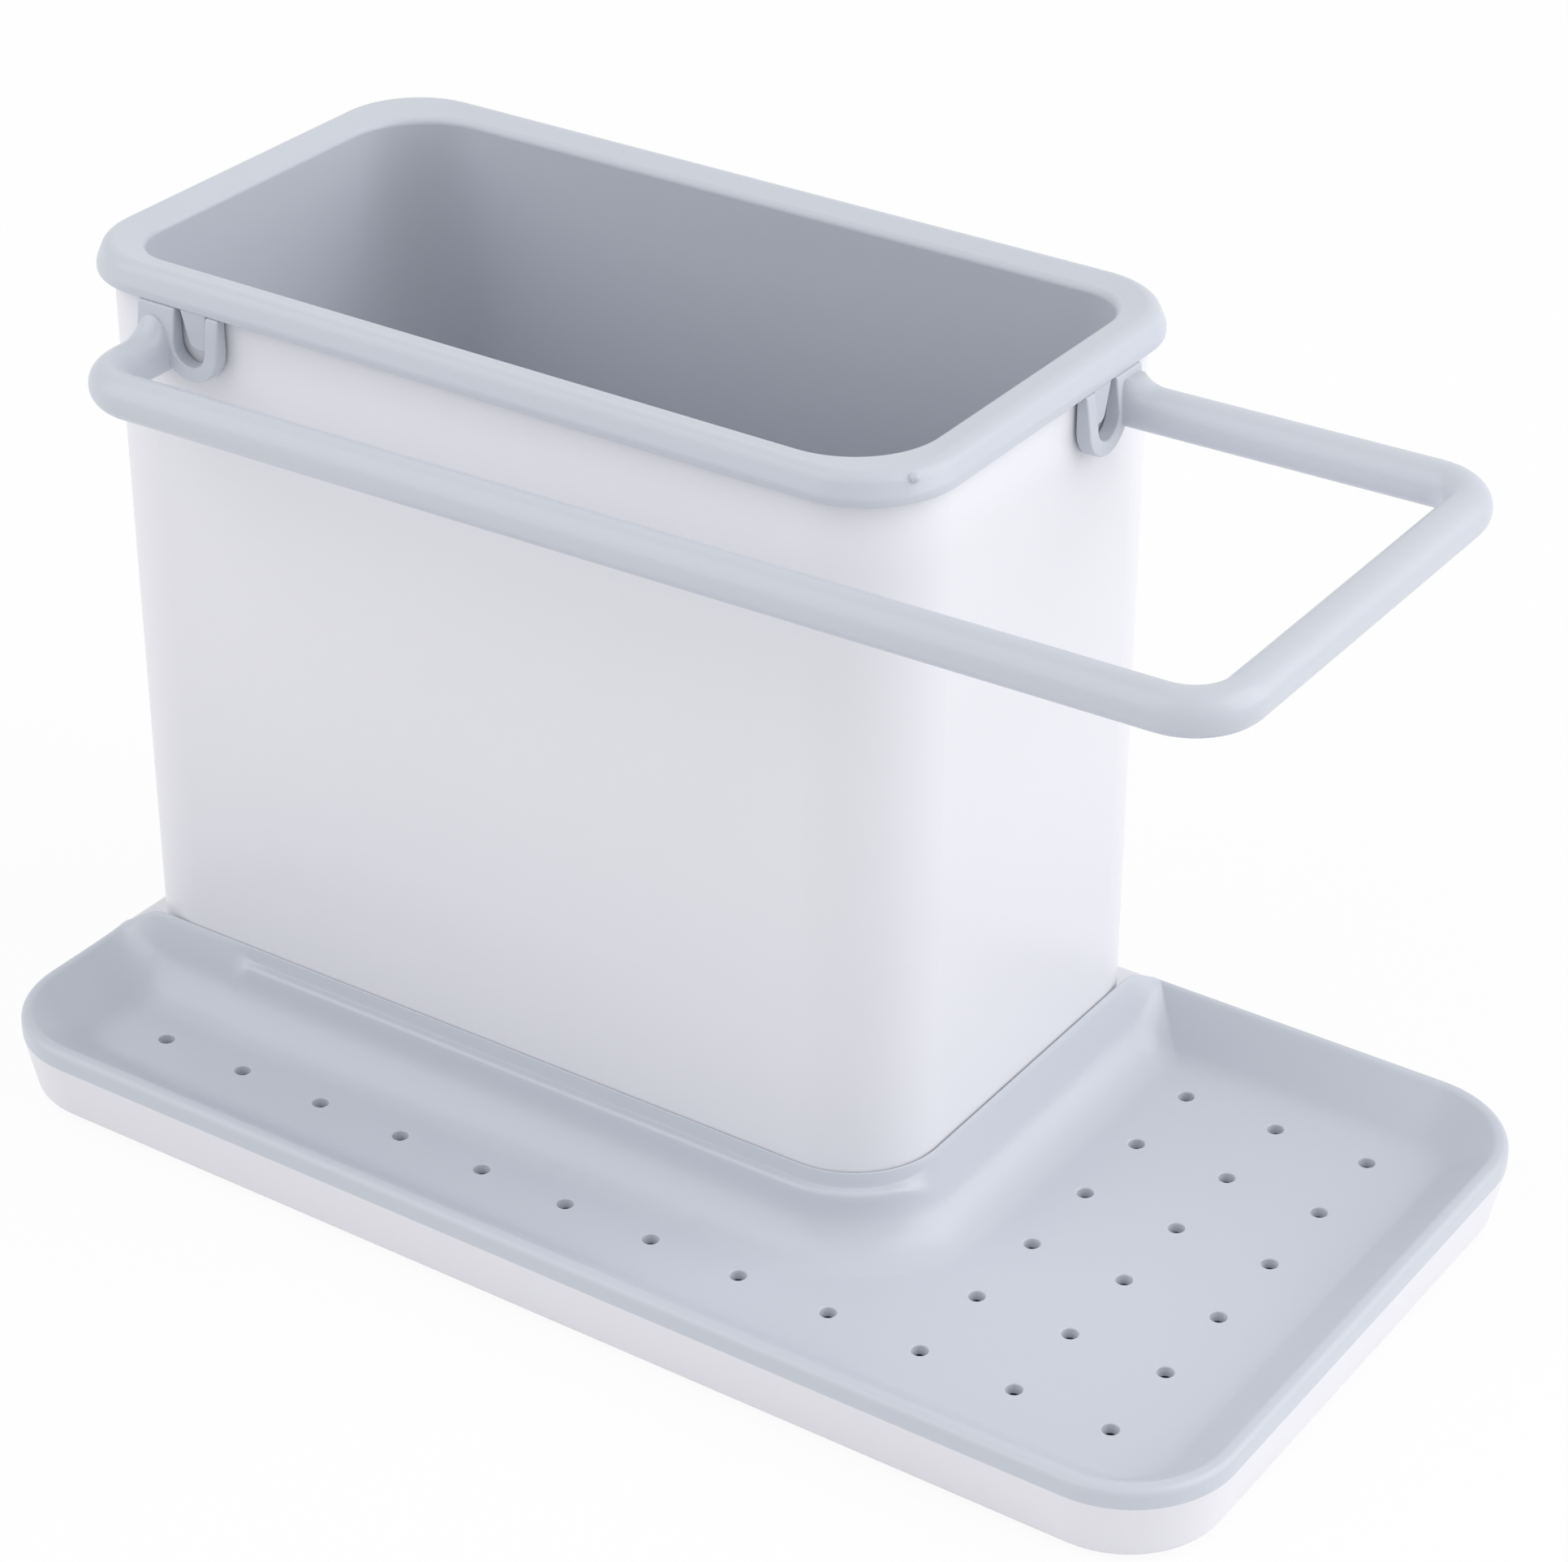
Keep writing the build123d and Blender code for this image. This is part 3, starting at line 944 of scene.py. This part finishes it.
def makeRod(spec):
    left = wallPlaces["leftX"]
    back = wallPlaces["backY"]
    wallFront = wallPlaces["frontY"]
    wallRight = wallPlaces["rightX"]
    right = wallRight + spec["rightReach"]
    low = spec["leftHeight"]
    high = low + spec["rise"]
    plate = spec["wallGap"] + spec["thickness"] / 2
    slope = spec["rise"] / (right - left)
    corners = [Vector(p) for p in (
        (left, wallFront - plate, low),
        (left, wallFront - spec["frontReach"], low),
        (right, wallFront - spec["frontReach"], high),
        (right, back, high),
        (wallRight + plate, back, high - slope * (spec["rightReach"] - plate)),
    )]
    clearAll()
    bpy.ops.mesh.primitive_circle_add(
        vertices=spec["steps"], radius=spec["radius"], fill_type="NGON",
        location=corners[0], rotation=(math.pi / 2, 0, 0),
    )
    rod = editPiece("towelRail")
    bpy.ops.mesh.select_mode(type="FACE")
    bpy.ops.mesh.select_all(action="SELECT")
    here = corners[0]
    for index in range(1, len(corners) - 1):
        coming = (corners[index] - corners[index - 1]).normalized()
        going = (corners[index + 1] - corners[index]).normalized()
        angle = coming.angle(going)
        reach = spec["bendRadius"] * math.tan(angle / 2)
        start = corners[index] - coming * reach
        axis = coming.cross(going).normalized()
        centre = start + axis.cross(coming) * spec["bendRadius"]
        if index == 1:
            for step in range(spec["rootSteps"]):
                extrudeBy(*((start - here) / spec["rootSteps"]))
        else:
            extrudeBy(*(start - here))
        bpy.ops.mesh.spin(steps=spec["bendSteps"], angle=-angle, center=centre, axis=axis)
        here = corners[index] + going * reach
    rootPart = (corners[-1] - corners[-2]).normalized() * spec["rootRun"]
    extrudeBy(*(corners[-1] - rootPart - here))
    for step in range(spec["rootSteps"]):
        extrudeBy(*(rootPart / spec["rootSteps"]))
    bpy.ops.mesh.select_all(action="SELECT")
    bpy.ops.mesh.remove_doubles(threshold=weld)
    bpy.ops.mesh.normals_make_consistent(inside=False)
    bpy.ops.object.mode_set(mode="OBJECT")
    roots = ((corners[0], corners[1]), (corners[-1], corners[-2]))
    for root, far in roots:    # the rod swells upwards where it leaves a plate
        along = (far - root).normalized()
        for corner in rod.data.vertices:
            away = (corner.co - root).dot(along)
            above = corner.co.z - (root + along * away).z
            aside = (corner.co - root - along * away).length
            if above > 0 and away < spec["rootRun"] and aside < 2 * spec["radius"]:
                share = 1 - max(0, away - spec["thickness"] / 2) / spec["rootRun"]
                raised = corner.co.z + above * spec["rootRise"] * share ** 3
                corner.co.z = min(raised, spec["top"] - 1)
    return rod


def makeClip(spec):
    # a flat hook: a leg, a half turn under the slot, and a broad band up to the rim
    clearAll()
    depth = spec["thickness"]
    middleY = -spec["wallGap"] - depth / 2
    rise = spec["top"] - spec["roundHeight"]
    place = (spec["slotRight"] + spec["legWidth"] / 2, middleY, spec["top"])
    bpy.ops.mesh.primitive_plane_add(size=1, location=place)
    bpy.context.object.scale = (spec["legWidth"], depth, 1)
    clip = editPiece("clip")
    bpy.ops.mesh.select_mode(type="FACE")
    bpy.ops.mesh.select_all(action="SELECT")
    extrudeBy(0, 0, -rise)
    centre = ((spec["slotLeft"] + spec["slotRight"]) / 2, middleY, spec["roundHeight"])
    bpy.ops.mesh.spin(steps=spec["slotSteps"], angle=-math.pi, center=centre, axis=(0, 1, 0))
    extrudeBy(0, 0, rise)
    bandFace = spec["slotLeft"] - spec["legWidth"]
    pickFaces(clip, lambda c, n: abs(c.x - bandFace) < near and c.z > spec["roundHeight"] + 1)
    extrudeBy(spec["bandLeft"] - bandFace, 0, 0)
    bpy.ops.mesh.select_all(action="SELECT")
    bpy.ops.mesh.remove_doubles(threshold=weld)
    bpy.ops.mesh.normals_make_consistent(inside=False)
    bpy.ops.object.mode_set(mode="OBJECT")
    roundEdges(clip, spec["edgeRound"])
    for corner in clip.data.vertices:    # lean the top back
        share = max(0, 1 - (spec["top"] - corner.co.z) / spec["leanRun"])
        if corner.co.y < middleY:
            corner.co.y += spec["topLean"] * share * share
    return clip


towelRail = makeRod(railSpec)
leftClip = makeClip(railSpec)
rightClip = copiesOf(leftClip, [(0, 0, 0)])[0]
setOnWalls(leftClip, rightClip)
joinTo(towelRail, [leftClip, rightClip])
finishPiece(towelRail, greyPlastic, "grey_plastic", "rail", "towel_rail")


# floor, world and lamps

studioSpec = {
    "floorSize": 6.0,
    "floorColour": (0.90, 0.90, 0.91),
    "floorRoughness": 0.9,
    "floorSheen": 0.1,
    "floorWhite": 0.92,        # how far the floor is seen plain white; the rest keeps the shadow
    "worldColour": (1.0, 1.0, 1.0),
    "worldLevel": 0.585,
    "lamps": {                 # place, size, power
        "keyLamp": ((1.46, 0.64, 1.08), 2.0, 24.0),
        "fillLamp": ((-1.00, -1.12, 1.25), 2.0, 14.5),
    },
    "aim": (0, 0, 0.06),
}


def seenShare(nodes, links, share):
    # the plain white is for rays that look, mirror or pass through, so it throws no light
    rays = nodes.new("ShaderNodeLightPath")
    total = rays.outputs["Is Camera Ray"]
    for kind in ("Is Glossy Ray", "Is Transmission Ray"):
        added = nodes.new("ShaderNodeMath")
        added.operation = "ADD"
        added.use_clamp = True
        links.new(total, added.inputs[0])
        links.new(rays.outputs[kind], added.inputs[1])
        total = added.outputs["Value"]
    part = nodes.new("ShaderNodeMath")
    part.operation = "MULTIPLY"
    part.inputs[1].default_value = share
    links.new(total, part.inputs[0])
    return part.outputs["Value"]


def makeFloor(spec):
    bpy.ops.object.select_all(action="DESELECT")
    bpy.ops.mesh.primitive_plane_add(size=spec["floorSize"])
    floor = bpy.context.object
    floor.name = "floor"
    material = bpy.data.materials.new("paleFloor")
    material.use_nodes = True
    nodes = material.node_tree.nodes
    links = material.node_tree.links
    matt = nodes["Principled BSDF"]
    matt.inputs["Base Color"].default_value = (*spec["floorColour"], 1)
    matt.inputs["Roughness"].default_value = spec["floorRoughness"]
    matt.inputs["Specular IOR Level"].default_value = spec["floorSheen"]
    glow = nodes.new("ShaderNodeEmission")
    glow.inputs["Strength"].default_value = 1.0
    blend = nodes.new("ShaderNodeMixShader")
    links.new(seenShare(nodes, links, spec["floorWhite"]), blend.inputs["Fac"])
    links.new(matt.outputs["BSDF"], blend.inputs[1])
    links.new(glow.outputs["Emission"], blend.inputs[2])
    links.new(blend.outputs["Shader"], nodes["Material Output"].inputs["Surface"])
    floor.data.materials.append(material)


def makeWorld(spec):
    world = bpy.data.worlds.new("studio")
    bpy.context.scene.world = world
    world.use_nodes = True
    nodes = world.node_tree.nodes
    links = world.node_tree.links
    room = nodes["Background"]
    room.inputs["Color"].default_value = (*spec["worldColour"], 1)
    room.inputs["Strength"].default_value = spec["worldLevel"]
    white = nodes.new("ShaderNodeBackground")
    white.inputs["Color"].default_value = (1, 1, 1, 1)
    white.inputs["Strength"].default_value = 1.0
    seen = nodes.new("ShaderNodeMixShader")
    links.new(seenShare(nodes, links, 1), seen.inputs["Fac"])
    links.new(room.outputs["Background"], seen.inputs[1])
    links.new(white.outputs["Background"], seen.inputs[2])
    links.new(seen.outputs["Shader"], nodes["World Output"].inputs["Surface"])


def makeLamp(name, place, size, power, aim):
    data = bpy.data.lights.new(name, "AREA")
    data.shape = "SQUARE"
    data.size = size
    data.energy = power
    lamp = bpy.data.objects.new(name, data)
    bpy.context.scene.collection.objects.link(lamp)
    lamp.location = place
    lamp.rotation_euler = (Vector(aim) - Vector(place)).to_track_quat("-Z", "Y").to_euler()


makeFloor(studioSpec)
makeWorld(studioSpec)
for name, (place, size, power) in studioSpec["lamps"].items():
    makeLamp(name, place, size, power, studioSpec["aim"])
bpy.context.scene.view_settings.view_transform = "Standard"
print("studio set")
